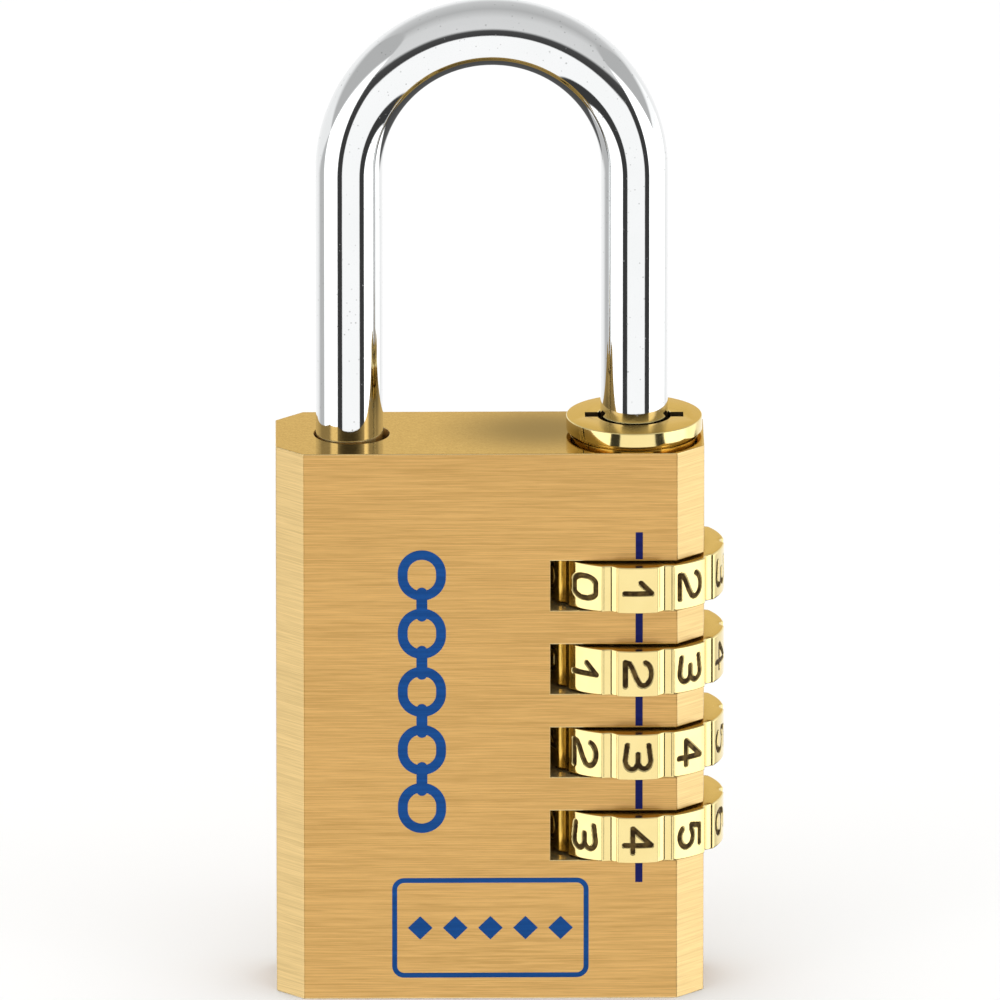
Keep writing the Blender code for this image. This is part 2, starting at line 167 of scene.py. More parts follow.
class Wiring:
    # short ways to add and join the nodes of one tree
    def __init__(self, tree):
        self.tree = tree

    def join(self, value, socket):
        # another node's output is linked, a plain value is set
        if isinstance(value, bpy.types.NodeSocket):
            self.tree.links.new(value, socket)
        else:
            socket.default_value = value

    def add(self, kind, setting=None, **inputs):
        node = self.tree.nodes.new(kind)
        if setting:
            setattr(node, *setting)
        for label, value in inputs.items():
            self.join(value, node.inputs[label.replace("_", " ")])
        return node

    def operate(self, kind, operation, *values):
        node = self.add(kind, ("operation", operation))
        for socket, value in zip(node.inputs, values):
            self.join(value, socket)
        return node

    def combine(self, operation, first, second):
        return self.operate("ShaderNodeMath", operation, first, second).outputs["Value"]

    def plus(self, first, second, share):
        # first with a share of second on top
        return self.combine("ADD", first, self.combine("MULTIPLY", second, share))

    def mixture(self, first, second, share):
        # both together, second making up this share
        return self.plus(self.combine("MULTIPLY", first, 1 - share), second, share)

    def fade(self, source, limit, curve):
        # one at nothing, and nothing from the limit on
        node = self.add("ShaderNodeMapRange", ("interpolation_type", curve), Value=source,
                        From_Max=limit, To_Min=1.0, To_Max=0.0)
        return node.outputs["Result"]


class Effect(Wiring):
    # a node group with named inputs and one output that changes over the surface
    def __init__(self, name, output, **inputs):
        self.group = bpy.data.node_groups.new(name, "ShaderNodeTree")
        super().__init__(self.group)
        for label, value in inputs.items():
            kind = "NodeSocketVector" if isinstance(value, tuple) else "NodeSocketFloat"
            socket = self.group.interface.new_socket(label, in_out="INPUT", socket_type=kind)
            socket.default_value = value
        self.group.interface.new_socket(output, in_out="OUTPUT", socket_type="NodeSocketFloat")
        self.source = self.add("NodeGroupInput")
        self.out = self.add("NodeGroupOutput")
        self.coords = self.add("ShaderNodeTexCoord")

    def given(self, label):
        return self.source.outputs[label]

    def place(self):
        return self.coords.outputs["Object"]

    def close(self, result):
        self.join(result, self.out.inputs[0])
        return self.group


def makeBrushGroup():
    # long fine scratches: noise stretched by the Stretch vector
    wire = Effect("brushLines", "Lines", Stretch=(10, 10, 1000), Detail=5.0)
    mapping = wire.add("ShaderNodeMapping", Vector=wire.place(), Scale=wire.given("Stretch"))
    noise = wire.add("ShaderNodeTexNoise", Vector=mapping.outputs["Vector"], Scale=1.0,
                     Detail=wire.given("Detail"), Roughness=0.68)
    return wire.close(noise.outputs["Fac"])


def makeCloudGroup():
    # slow uneven patches, for handling marks and polish
    wire = Effect("slowPatches", "Patches", Scale=100.0)
    noise = wire.add("ShaderNodeTexNoise", Vector=wire.place(), Scale=wire.given("Scale"),
                     Detail=3.0)
    return wire.close(noise.outputs["Fac"])


def makePitGroup():
    # scattered pin-pricks in a plated or polished skin
    wire = Effect("pinPricks", "Pits", Scale=900.0, Amount=0.2)
    cells = wire.add("ShaderNodeTexVoronoi", Vector=wire.place(), Scale=wire.given("Scale"))
    uneven = wire.add("ShaderNodeTexNoise", Vector=wire.place(), Scale=260.0)
    limit = wire.combine("MULTIPLY", uneven.outputs["Fac"], wire.given("Amount"))
    return wire.close(wire.fade(cells.outputs["Distance"], limit, "SMOOTHSTEP"))


def makeSpotGroup():
    # a soft round patch about a point
    wire = Effect("softSpot", "Spot", Centre=(0, 0, 0), Stretch=(1, 1, 1), Radius=0.01)
    shift = wire.operate("ShaderNodeVectorMath", "SUBTRACT", wire.place(), wire.given("Centre"))
    shape = wire.operate("ShaderNodeVectorMath", "MULTIPLY", shift.outputs["Vector"],
                         wire.given("Stretch"))
    reach = wire.operate("ShaderNodeVectorMath", "LENGTH", shape.outputs["Vector"])
    return wire.close(wire.fade(reach.outputs["Value"], wire.given("Radius"), "SMOOTHERSTEP"))


softSpot = makeSpotGroup()
brushLines = makeBrushGroup()
slowPatches = makeCloudGroup()
pinPricks = makePitGroup()


class Finish(Wiring):
    # one material with its Principled shader
    def __init__(self, name, colour, roughness, metallic=1.0, **more):
        self.material = bpy.data.materials.new(name)
        self.material.use_nodes = True
        super().__init__(self.material.node_tree)
        self.shader = self.tree.nodes["Principled BSDF"]
        self.feed("Base Color", (*colour, 1))
        self.feed("Roughness", roughness)
        self.feed("Metallic", metallic)
        for label, value in more.items():
            self.feed(label.replace("_", " "), value)
        self.material.diffuse_color = (*colour, 1)
        self.material.roughness = roughness
        self.material.metallic = metallic

    def feed(self, socket, value):
        self.join(value, self.shader.inputs[socket])

    def effect(self, group, **values):
        return self.add("ShaderNodeGroup", ("node_tree", group), **values).outputs[0]

    def attribute(self, name):
        return self.add("ShaderNodeAttribute", ("attribute_name", name)).outputs["Fac"]

    def spread(self, source, low, high, fromLow=0.0, fromHigh=1.0):
        node = self.add("ShaderNodeMapRange", Value=source, From_Min=fromLow, From_Max=fromHigh,
                        To_Min=low, To_Max=high)
        return node.outputs["Result"]

    def mixColour(self, factor, first, second):
        node = self.add("ShaderNodeMix", ("data_type", "RGBA"), Factor=factor)
        colours = [socket for socket in node.inputs if socket.type == "RGBA"]
        for socket, value in zip(colours, (first, second)):
            self.join((*value, 1) if isinstance(value, tuple) else value, socket)
        return [socket for socket in node.outputs if socket.type == "RGBA"][0]

    def bump(self, height, strength, distance):
        node = self.add("ShaderNodeBump", Strength=strength, Distance=distance, Height=height)
        self.feed("Normal", node.outputs["Normal"])


def brushedBrass(name, dark, light):
    # upright faces, drawn sideways over an abrasive belt
    looks = {"fine": (230, 230, 15000), "middle": (105, 105, 7400), "broad": (35, 35, 1900),
             "broadShare": 0.14, "contrast": (0.40, 0.60), "roughness": (0.36, 0.46),
             "coat": 0.8, "coatRoughness": 0.25, "bump": 0.5, "scratchDepth": 0.02 * mm}
    middleTone = [(first + second) / 2 for first, second in zip(dark, light)]
    finish = Finish(name, middleTone, sum(looks["roughness"]) / 2, Coat_Weight=looks["coat"],
                    Coat_Roughness=looks["coatRoughness"])
    lines = finish.mixture(finish.effect(brushLines, Stretch=looks["fine"], Detail=2.0),
                           finish.effect(brushLines, Stretch=looks["middle"], Detail=3.0), 0.5)
    lines = finish.mixture(lines, finish.effect(brushLines, Stretch=looks["broad"], Detail=2.0),
                           looks["broadShare"])
    finish.feed("Base Color", finish.mixColour(finish.spread(lines, 0, 1, *looks["contrast"]),
                                               dark, light))
    finish.feed("Roughness", finish.spread(lines, *looks["roughness"], 0.35, 0.65))
    finish.bump(lines, looks["bump"], looks["scratchDepth"])
    return finish.material


def facedBrass():
    # the finely ground top and base, smooth enough to mirror at a low angle
    looks = {"middle": (0.61, 0.40, 0.115), "dark": (0.52, 0.325, 0.085),
             "light": (0.70, 0.47, 0.145), "mirrored": (0.80, 0.71, 0.56, 1),
             "contrast": (0.33, 0.67), "roughness": (0.07, 0.13), "paintedShade": (0.26, 0.17, 0.048),
             "paintedShadeAt": (0.0052, 0.001, 0.0534), "paintedShadeStretch": (0.75, 1.0, 1.0),
             "paintedShadeRadius": 10.5 * mm}
    finish = Finish("facedBrass", looks["middle"], sum(looks["roughness"]) / 2,
                    Specular_Tint=looks["mirrored"])
    ground = finish.mixture(finish.effect(slowPatches, Scale=5200.0),
                            finish.effect(brushLines, Stretch=(900, 3800, 900), Detail=4.0), 0.4)
    brass = finish.mixColour(finish.spread(ground, 0, 1, *looks["contrast"]), looks["dark"],
                             looks["light"])
    # painted shade: a soft darker patch on the top face round the collar, where the collar shades it
    paintedShade = finish.effect(softSpot, Centre=looks["paintedShadeAt"], Stretch=looks["paintedShadeStretch"],
                         Radius=looks["paintedShadeRadius"])
    finish.feed("Base Color", finish.mixColour(paintedShade, brass, looks["paintedShade"]))
    finish.feed("Roughness", finish.spread(ground, *looks["roughness"], 0.3, 0.7))
    finish.bump(ground, 0.3, 0.012 * mm)
    return finish.material


def polishedBrass():
    # the wheels' rims, with dark stain left in the engraved figures
    looks = {"middle": (0.77, 0.62, 0.28), "dark": (0.72, 0.57, 0.24), "light": (0.82, 0.68, 0.32),
             "stain": (0.045, 0.024, 0.006), "thinStain": (0.16, 0.10, 0.028),
             "pit": (0.35, 0.22, 0.06), "roughness": (0.06, 0.14), "stainRoughness": 0.5,
             "stainMetallic": 0.8}
    finish = Finish("polishedBrass", looks["middle"], sum(looks["roughness"]) / 2)
    ink = finish.attribute("stain")
    patches = finish.effect(slowPatches, Scale=420.0)
    blotches = finish.effect(slowPatches, Scale=1500.0)
    pits = finish.combine("MULTIPLY", finish.effect(pinPricks, Scale=2600.0, Amount=0.16), 0.5)
    brass = finish.mixColour(patches, looks["dark"], looks["light"])
    brass = finish.mixColour(pits, brass, looks["pit"])
    stain = finish.mixColour(finish.spread(blotches, 0, 1, 0.4, 0.65), looks["stain"],
                             looks["thinStain"])
    finish.feed("Base Color", finish.mixColour(ink, brass, stain))
    finish.feed("Roughness", finish.plus(finish.spread(patches, *looks["roughness"], 0.3, 0.7),
                                         ink, looks["stainRoughness"]))
    finish.feed("Metallic", finish.spread(ink, 1.0, looks["stainMetallic"]))
    finish.bump(patches, 0.25, 0.03 * mm)
    return finish.material


def turnedBrass():
    # lathe-faced rings on the collar and the wheels' flat sides
    looks = {"middle": (0.66, 0.44, 0.13), "dark": (0.56, 0.36, 0.09),
             "light": (0.72, 0.49, 0.145), "mirrored": (0.88, 0.78, 0.56, 1),
             "roughness": (0.18, 0.3)}
    finish = Finish("turnedBrass", looks["middle"], 0.25, Specular_Tint=looks["mirrored"])
    rings = finish.attribute("turning")
    lines = finish.effect(brushLines, Stretch=(700, 700, 700), Detail=6.0)
    tone = finish.mixture(rings, lines, 0.4)
    finish.feed("Base Color", finish.mixColour(tone, looks["dark"], looks["light"]))
    finish.feed("Roughness", finish.spread(tone, *looks["roughness"]))
    finish.bump(rings, 0.25, 0.01 * mm)
    return finish.material


def chromePlate():
    # bright plate with a faint orange peel and a few pits
    looks = {"middle": (0.72, 0.73, 0.735), "dark": (0.69, 0.705, 0.705),
             "light": (0.755, 0.76, 0.765), "pit": (0.25, 0.26, 0.25),
             "roughness": (0.03, 0.07), "pitRoughness": 0.3, "peel": 0.05}
    finish = Finish("chromePlate", looks["middle"], 0.045)
    pits = finish.effect(pinPricks, Scale=1500.0, Amount=0.30)
    patches = finish.effect(slowPatches, Scale=170.0)
    peel = finish.effect(slowPatches, Scale=2600.0)
    plate = finish.mixColour(patches, looks["dark"], looks["light"])
    finish.feed("Base Color", finish.mixColour(finish.combine("MULTIPLY", pits, 0.7), plate,
                                               looks["pit"]))
    finish.feed("Roughness", finish.plus(finish.spread(patches, *looks["roughness"], 0.3, 0.7),
                                         pits, looks["pitRoughness"]))
    finish.bump(finish.plus(patches, peel, looks["peel"]), 0.2, 0.04 * mm)
    return finish.material


def paint(name, colour, light):
    # thin printed enamel with a faint unevenness
    finish = Finish(name, colour, 0.45, metallic=0.0, Specular_IOR_Level=0.12)
    patches = finish.effect(slowPatches, Scale=900.0)
    lines = finish.effect(brushLines, Stretch=(60, 60, 3500), Detail=3.0)
    finish.feed("Base Color", finish.mixColour(finish.spread(lines, 0, 1, 0.35, 0.65), colour,
                                               light))
    finish.feed("Roughness", finish.spread(patches, 0.38, 0.55, 0.3, 0.7))
    finish.bump(patches, 0.2, 0.01 * mm)
    return finish.material


def zincSteel():
    # turned steel inside the lock, bright zinc plated
    looks = {"middle": (0.58, 0.60, 0.62), "dark": (0.50, 0.53, 0.56), "light": (0.66, 0.67, 0.66)}
    finish = Finish("zincSteel", looks["middle"], 0.28)
    lines = finish.effect(brushLines, Stretch=(60, 60, 3200), Detail=5.0)
    patches = finish.effect(slowPatches, Scale=320.0)
    finish.feed("Base Color", finish.mixColour(patches, looks["dark"], looks["light"]))
    finish.feed("Roughness", finish.spread(lines, 0.2, 0.38, 0.3, 0.7))
    finish.bump(lines, 0.3, 0.02 * mm)
    return finish.material


def springSteel():
    # drawn wire, a little darker from its oil
    looks = {"middle": (0.36, 0.36, 0.37), "dark": (0.28, 0.28, 0.29), "light": (0.45, 0.45, 0.46)}
    finish = Finish("springSteel", looks["middle"], 0.33)
    patches = finish.effect(slowPatches, Scale=1400.0)
    pits = finish.effect(pinPricks, Scale=2400.0, Amount=0.3)
    finish.feed("Base Color", finish.mixColour(patches, looks["dark"], looks["light"]))
    finish.feed("Roughness", finish.plus(finish.spread(patches, 0.25, 0.4), pits, 0.2))
    finish.bump(patches, 0.3, 0.02 * mm)
    return finish.material


def edgeHighlightBrass():
    # painted highlight: the bevels along the top and bottom edges get a brighter brass, for the
    # light they catch
    looks = {"middle": (0.88, 0.67, 0.33), "dark": (0.74, 0.52, 0.20), "light": (0.95, 0.76, 0.42)}
    finish = Finish("edgeHighlightBrass", looks["middle"], 0.30)
    highlightPatches = finish.effect(slowPatches, Scale=1300.0)
    finish.feed("Base Color", finish.mixColour(highlightPatches, looks["dark"], looks["light"]))
    finish.feed("Roughness", finish.spread(highlightPatches, 0.22, 0.4, 0.3, 0.7))
    finish.bump(highlightPatches, 0.2, 0.02 * mm)
    return finish.material


def sawnBrass():
    # the slots' walls, left bright by the cutter
    looks = {"middle": (0.80, 0.63, 0.31), "dark": (0.74, 0.57, 0.26), "light": (0.86, 0.70, 0.36)}
    finish = Finish("sawnBrass", looks["middle"], 0.2, metallic=0.8)
    lines = finish.effect(brushLines, Stretch=(500, 500, 500), Detail=4.0)
    finish.feed("Base Color", finish.mixColour(lines, looks["dark"], looks["light"]))
    finish.feed("Roughness", finish.spread(lines, 0.15, 0.25, 0.3, 0.7))
    finish.bump(lines, 0.15, 0.01 * mm)
    return finish.material


def slotShadeBrass():
    # painted shade: brass darkened down in the spanner slots, where shade falls
    looks = {"middle": (0.06, 0.035, 0.010), "dark": (0.035, 0.020, 0.006),
             "light": (0.10, 0.06, 0.018)}
    finish = Finish("slotShadeBrass", looks["middle"], 0.5, metallic=0.6)
    patches = finish.effect(slowPatches, Scale=2500.0)
    finish.feed("Base Color", finish.mixColour(patches, looks["dark"], looks["light"]))
    finish.feed("Roughness", finish.spread(patches, 0.4, 0.65))
    finish.bump(patches, 0.3, 0.02 * mm)
    return finish.material


finishes = {"brushed": brushedBrass("brushedBrass", (0.52, 0.291, 0.066), (0.78, 0.458, 0.132)),
            # the corner chamfers' copy is paler and whiter: painted sheen for the light they catch
            "chamferSheen": brushedBrass("chamferSheenBrass", (0.50, 0.345, 0.120), (0.69, 0.486, 0.190)),
            "faced": facedBrass(), "polished": polishedBrass(),
            "turned": turnedBrass(), "chrome": chromePlate(), "zinc": zincSteel(),
            "spring": springSteel(), "slotShade": slotShadeBrass(),
            "sawn": sawnBrass(), "edgeHighlight": edgeHighlightBrass(),
            "navy": paint("navyEnamel", (0.006, 0.009, 0.105), (0.011, 0.015, 0.15)),
            "blue": paint("blueEnamel", (0.004, 0.062, 0.25), (0.008, 0.085, 0.33))}
print("finishes made:", len(finishes))


bodyCut = {"cornerChamfer": 2.55 * mm, "boreRadius": 5.25 * mm, "boreFloor": 4.0 * mm,
           "counterbore": 5.95 * mm, "toeHoleRadius": 3.54 * mm, "toeHoleInboard": 0.2 * mm,
           "toeHoleFloor": 45.2 * mm, "slotRadius": 25 * mm, "slotEndGap": 0.36 * mm,
           "slotSideGap": 0.2 * mm, "detentHole": 1.15 * mm, "detentHoleGap": 0.2 * mm,
           "edgeBreak": 0.13 * mm, "edgeAngle": 28, "slotMargin": 0.3 * mm,
           "smallestWall": 0.3 * mm * mm}
bodySkins = ["brushed", "faced", "sawn", "edgeHighlight", "chamferSheen"]


def onSkin(face, chamfer):
    # true for the outer faces of the block
    centre, normal = face.calc_center_median(), face.normal
    for axis in range(3):
        if abs(normal[axis]) > 0.99:
            gaps = [abs(centre[axis] - side[axis]) for side in (bodyLow, bodyHigh)]
            return min(gaps) < 0.01 * mm
    corner = abs(centre.x) - bodyHigh.x + abs(centre.y) - bodyHigh.y + chamfer
    return abs(normal.z) < 0.01 and abs(corner) < 0.02 * mm


def buildBody(cut, barRadius):
    bm = block(bodyLow, bodyHigh)
    upright = [e for e in bm.edges if abs(e.verts[0].co.z - e.verts[1].co.z) > 1 * mm]
    soften(bm, upright, cut["cornerChamfer"], steps=1)
    above = bodyHigh.z + 2 * mm
    toeX = shackleLow.x + barRadius + cut["toeHoleInboard"]
    cutters = [
        rod(cut["boreRadius"], (heelX, 0, cut["boreFloor"]), (heelX, 0, bodyHigh.z - 1 * mm)),
        rod(cut["counterbore"], (heelX, 0, collarLow.z), (heelX, 0, above), 128),
        rod(cut["toeHoleRadius"], (toeX, 0, cut["toeHoleFloor"]), (toeX, 0, above), 128)]
    for number in range(1, 5):
        low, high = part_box(f"number_wheel_{number}")
        centreX = low.x - cut["slotEndGap"] + cut["slotRadius"]
        cutters.append(rod(cut["slotRadius"], (centreX, 0, low.z - cut["slotSideGap"]),
                           (centreX, 0, high.z + cut["slotSideGap"]), 512))
        springLow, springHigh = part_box(f"detent_spring_{number}")
        level = (springLow.z + springHigh.z) / 2
        cutters.append(rod(cut["detentHole"], (springLow.x - cut["detentHoleGap"], 0, level),
                           (low.x, 0, level), 32))
    cutAway(bm, cutters)
    bm.normal_update()
    chosen = [e for e in bm.edges if len(e.link_faces) == 2
              and e.calc_face_angle() > math.radians(cut["edgeAngle"])
              and any(onSkin(f, cut["cornerChamfer"]) for f in e.link_faces)]
    soften(bm, chosen, cut["edgeBreak"])
    bm.normal_update()
    slots = [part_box(f"number_wheel_{number}") for number in range(1, 5)]
    margin = cut["slotMargin"]
    for face in bm.faces:
        level, normal = face.calc_center_median().z, face.normal
        inSlot = any(low.z - margin < level < high.z + margin for low, high in slots)
        wall = face.calc_area() > cut["smallestWall"] and not onSkin(face, cut["cornerChamfer"])
        ending = min(level - bodyLow.z, bodyHigh.z - level) < cut["edgeBreak"]
        skin = "brushed"
        if inSlot and wall:
            skin = "sawn"
        elif abs(normal.z) > 0.9:
            skin = "faced"
        # the bevels along the top and bottom take the painted highlight
        elif ending and abs(normal.z) > 0.2:
            skin = "edgeHighlight"
        # the corner chamfers take the paler copy with its painted sheen
        elif min(abs(normal.x), abs(normal.y)) > 0.5:
            skin = "chamferSheen"
        face.material_index = bodySkins.index(skin)
    return bm


arch = {"barRadius": 3.15 * mm, "toeZ": 46.2 * mm, "toeBevel": 0.8 * mm, "toeBevelSteps": 5,
        "barSides": 72, "bendSteps": 96, "legSteps": 6}


def buildShackle(bar):
    # swept from the heel's side over the bend, then both legs are drawn down
    centreX = (shackleLow.x + shackleHigh.x) / 2
    bendRadius = (shackleHigh.x - shackleLow.x) / 2 - bar["barRadius"]
    bendZ = shackleHigh.z - bar["barRadius"] - bendRadius
    bm = bmesh.new()
    start = bmesh.ops.create_circle(bm, cap_ends=False, radius=bar["barRadius"],
                                    segments=bar["barSides"])["verts"]
    bmesh.ops.translate(bm, verts=start, vec=(centreX + bendRadius, 0, bendZ))
    startEdges = list(bm.edges)
    swept = bmesh.ops.spin(bm, geom=start + startEdges, cent=(centreX, 0, bendZ),
                           axis=(0, -1, 0), angle=math.pi, steps=bar["bendSteps"])
    lastEdges = [e for e in swept["geom_last"] if isinstance(e, bmesh.types.BMEdge)]
    for ends, bottom in ((startEdges, shackleLow.z), (lastEdges, bar["toeZ"])):
        drop = (bottom - bendZ) / bar["legSteps"]
        for step in range(bar["legSteps"]):
            grown = bmesh.ops.extrude_edge_only(bm, edges=ends)["geom"]
            verts = [v for v in grown if isinstance(v, bmesh.types.BMVert)]
            ends = [e for e in grown if isinstance(e, bmesh.types.BMEdge)]
            bmesh.ops.translate(bm, verts=verts, vec=(0, 0, drop))
        bmesh.ops.contextual_create(bm, geom=ends)
        soften(bm, ends, bar["toeBevel"], bar["toeBevelSteps"])
    return bm


bodyPiece = addPiece("brass_body", buildBody(bodyCut, arch["barRadius"]), bodySkins, "lock_case",
                     ["lock_body"], sharpAngle=30, flatOver=1.5 * mm * mm)
print("body:", len(bodyPiece.data.polygons), "faces")
shacklePiece = addPiece("chromed_shackle", buildShackle(arch), ["chrome"],
                        "shackle_set", ["shackle"])
print("shackle:", len(shacklePiece.data.polygons), "faces")


ring = {"neckRadius": 5.75 * mm, "boreRadius": 3.45 * mm, "flangeThickness": 1.35 * mm,
        "edgeRound": 0.09 * mm, "boreRound": 0.08 * mm, "slotWidth": 1.5 * mm,
        "slotReach": 4.6 * mm, "slotDepth": 0.9 * mm, "slotRound": 0.06 * mm,
        "turningPitch": 0.11 * mm, "waver": 2.1, "waverScale": 9000, "faceRings": 46,
        "steps": 240}
collarSkins = ["polished", "turned", "slotShade"]


def corner(radius, height, size, fromAngle, toAngle, steps=5):
    # rounded corner of a turned outline; radius and height are the arc's centre
    points = []
    for i in range(steps + 1):
        angle = math.radians(fromAngle + (toAngle - fromAngle) * i / steps)
        points.append((radius + size * math.cos(angle), height + size * math.sin(angle)))
    return points


def markTurning(bm, size):
    # fine lathe rings, kept as an attribute that the finish reads
    layer = bm.verts.layers.float.new("turning")
    for v in bm.verts:
        radius = math.hypot(v.co.x - heelX, v.co.y)
        waver = size["waver"] * math.sin(radius * size["waverScale"])
        v[layer] = 0.5 + 0.5 * math.sin(radius / size["turningPitch"] * 2 * math.pi + waver)


def buildCollar(size):
    top, outer = collarHigh.z, (collarHigh.x - collarLow.x) / 2
    edge, rim = size["edgeRound"], size["boreRound"]
    under = top - size["flangeThickness"]
    outline = [(size["boreRadius"], collarLow.z), (size["neckRadius"], collarLow.z),
               (size["neckRadius"], under)]
    outline += corner(outer - edge, under + edge, edge, -90, 0)
    outline += corner(outer - edge, top - edge, edge, 0, 90)
    faceOuter, faceInner, rings = outer - edge, size["boreRadius"] + rim, size["faceRings"]
    outline += [(faceOuter + (faceInner - faceOuter) * i / rings, top) for i in range(1, rings)]
    outline += corner(size["boreRadius"] + rim, top - rim, rim, 90, 180)
    bm = turned(outline, heelX, size["steps"])
    half, reach = size["slotWidth"] / 2, size["slotReach"]
    floor = top - size["slotDepth"]
    cutAway(bm, [block((heelX - reach, -half, floor), (heelX + reach, half, top + 1 * mm))])
    bm.normal_update()
    slotSide = half * 1.01
    slotEdges = [e for e in bm.edges if len(e.link_faces) == 2
                 and max(abs(v.co.y) for v in e.verts) < slotSide
                 and e.calc_face_angle() > math.radians(50)
                 and min(v.co.z for v in e.verts) > top - 0.01 * mm]
    soften(bm, slotEdges, size["slotRound"])
    markTurning(bm, size)
    for face in bm.faces:
        centre = face.calc_center_median()
        inSlot = (abs(centre.y) < slotSide and centre.z < top - 0.08 * mm
                  and size["boreRadius"] < abs(centre.x - heelX) < reach * 1.001)
        # the spanner slot's faces take the painted shade
        skin = "slotShade" if inSlot else "turned" if face.normal.z > 0.9 else "polished"
        face.material_index = collarSkins.index(skin)
    return bm


collarPiece = addPiece("turned_collar", buildCollar(ring), collarSkins, "lock_case",
                       ["retaining_collar"])
print("collar:", len(collarPiece.data.polygons), "faces")


wheel = {"boreRadius": 5.8 * mm, "grooveWidth": 1.5 * mm, "grooveDepth": 0.34 * mm,
         "grooveRound": 0.04 * mm, "edgeRound": 0.10 * mm, "rimBand": 0.9 * mm,
         "turningPitch": 0.16 * mm, "strokeWidth": 0.50 * mm, "strokeDepth": 0.17 * mm,
         "figureWidth": 2.40 * mm, "figureHeight": 2.54 * mm, "figures": 10, "restTurn": 2.0,
         "rimSteps": 900, "rimRows": 60, "flatRows": 4}
wheelSkins = ["polished", "turned"]


def bow(cx, cy, rx, ry, start, end, count=14):
    angles = np.radians(np.linspace(start, end, count))
    return [(cx + rx * math.cos(a), cy + ry * math.sin(a)) for a in angles]


# strokes of each figure, across -1..1 and up -1..1
figureStrokes = [
    [bow(0.38, 0, 0.52, 0.95, 90, -90) + bow(-0.38, 0, 0.52, 0.95, 270, 90) + [(0.38, 0.95)]],
    [[(0.25, -1), (0.25, 1), (-0.62, 0.2)]],
    [bow(0.0, 0.40, 0.95, 0.58, 165, -30) + [(0.30, -0.16), (-0.50, -0.46), (-0.86, -0.66),
                                              (-0.95, -0.95), (0.98, -0.95)]],
    [[(-0.95, 0.80)] + bow(0.28, 0.46, 0.66, 0.48, 105, -75) + [(-0.25, 0.0)],
     [(0.2, 0.0)] + bow(0.28, -0.47, 0.70, 0.48, 75, -105) + [(-0.98, -0.80)]],
    [[(0.42, -1), (0.42, 1), (-0.95, -0.38), (0.98, -0.38)]],
    [[(0.82, 0.95), (-0.62, 0.95), (-0.80, 0.12)] + bow(0.08, -0.33, 0.86, 0.60, 130, -140)],
    [[(0.62, 0.92)] + bow(0.22, -0.28, 1.14, 1.2, 115, 180) + bow(0.0, -0.38, 0.92, 0.58, 180, 540)],
    [[(-0.9, 0.92), (0.92, 0.92)] + bow(0.95, -1.0, 1.15, 1.75, 100, 178)],
    [bow(0, 0.48, 0.72, 0.46, -90, 270, 24), bow(0, -0.48, 0.92, 0.50, 90, 450, 24)],
    [bow(0, 0.38, 0.92, 0.58, 0, 360, 24), bow(-0.22, 0.28, 1.14, 1.2, 0, -65) + [(-0.62, -0.92)]],
]


def strokeDistance(across, up, strokes):
    # distance from each point to the nearest stroke line
    nearest = np.full(across.shape, 1.0)
    for stroke in strokes:
        for (x0, y0), (x1, y1) in zip(stroke, stroke[1:]):
            dx, dy = x1 - x0, y1 - y0
            length = dx * dx + dy * dy + 1e-18
            t = np.clip(((across - x0) * dx + (up - y0) * dy) / length, 0, 1)
            nearest = np.minimum(nearest, np.hypot(across - x0 - t * dx, up - y0 - t * dy))
    return nearest


def smooth(value, low, high):
    t = np.clip((value - low) / (high - low), 0, 1)
    return t * t * (3 - 2 * t)


def rimRelief(angle, height, radius, halfThick, size):
    # how far the rim lies inside its full radius, and where the stain sits
    pitch = 2 * math.pi * radius / size["figures"]
    place = angle / (2 * math.pi) * size["figures"]
    pad = np.round(place).astype(int)
    along = (place - pad) * pitch
    fromGroove = pitch / 2 - np.abs(along)
    halfGroove = size["grooveWidth"] / 2
    # a shallow rounded valley
    away = np.hypot(fromGroove, size["grooveRound"])
    groove = size["grooveDepth"] * np.clip(1 - (away / halfGroove) ** 2, 0, 1)
    toEdge = np.clip(halfThick - np.abs(height), 0, size["edgeRound"])
    edge = size["edgeRound"] - np.sqrt(size["edgeRound"] ** 2 - (size["edgeRound"] - toEdge) ** 2)
    depth = groove + edge
    stain = np.zeros_like(angle)
    for figure in range(size["figures"]):
        mine = np.mod(pad, size["figures"]) == figure
        strokes = [[(x * size["figureWidth"] / 2, y * size["figureHeight"] / 2)
                    for x, y in stroke] for stroke in figureStrokes[figure]]
        away = strokeDistance(-height[mine], along[mine], strokes)
        half = size["strokeWidth"] / 2
        cut = 1 - smooth(away, half - 0.10 * mm, half + 0.03 * mm)
        depth[mine] += size["strokeDepth"] * cut
        stain[mine] = 1 - smooth(away, half - 0.05 * mm, half + 0.03 * mm)
    return depth, stain


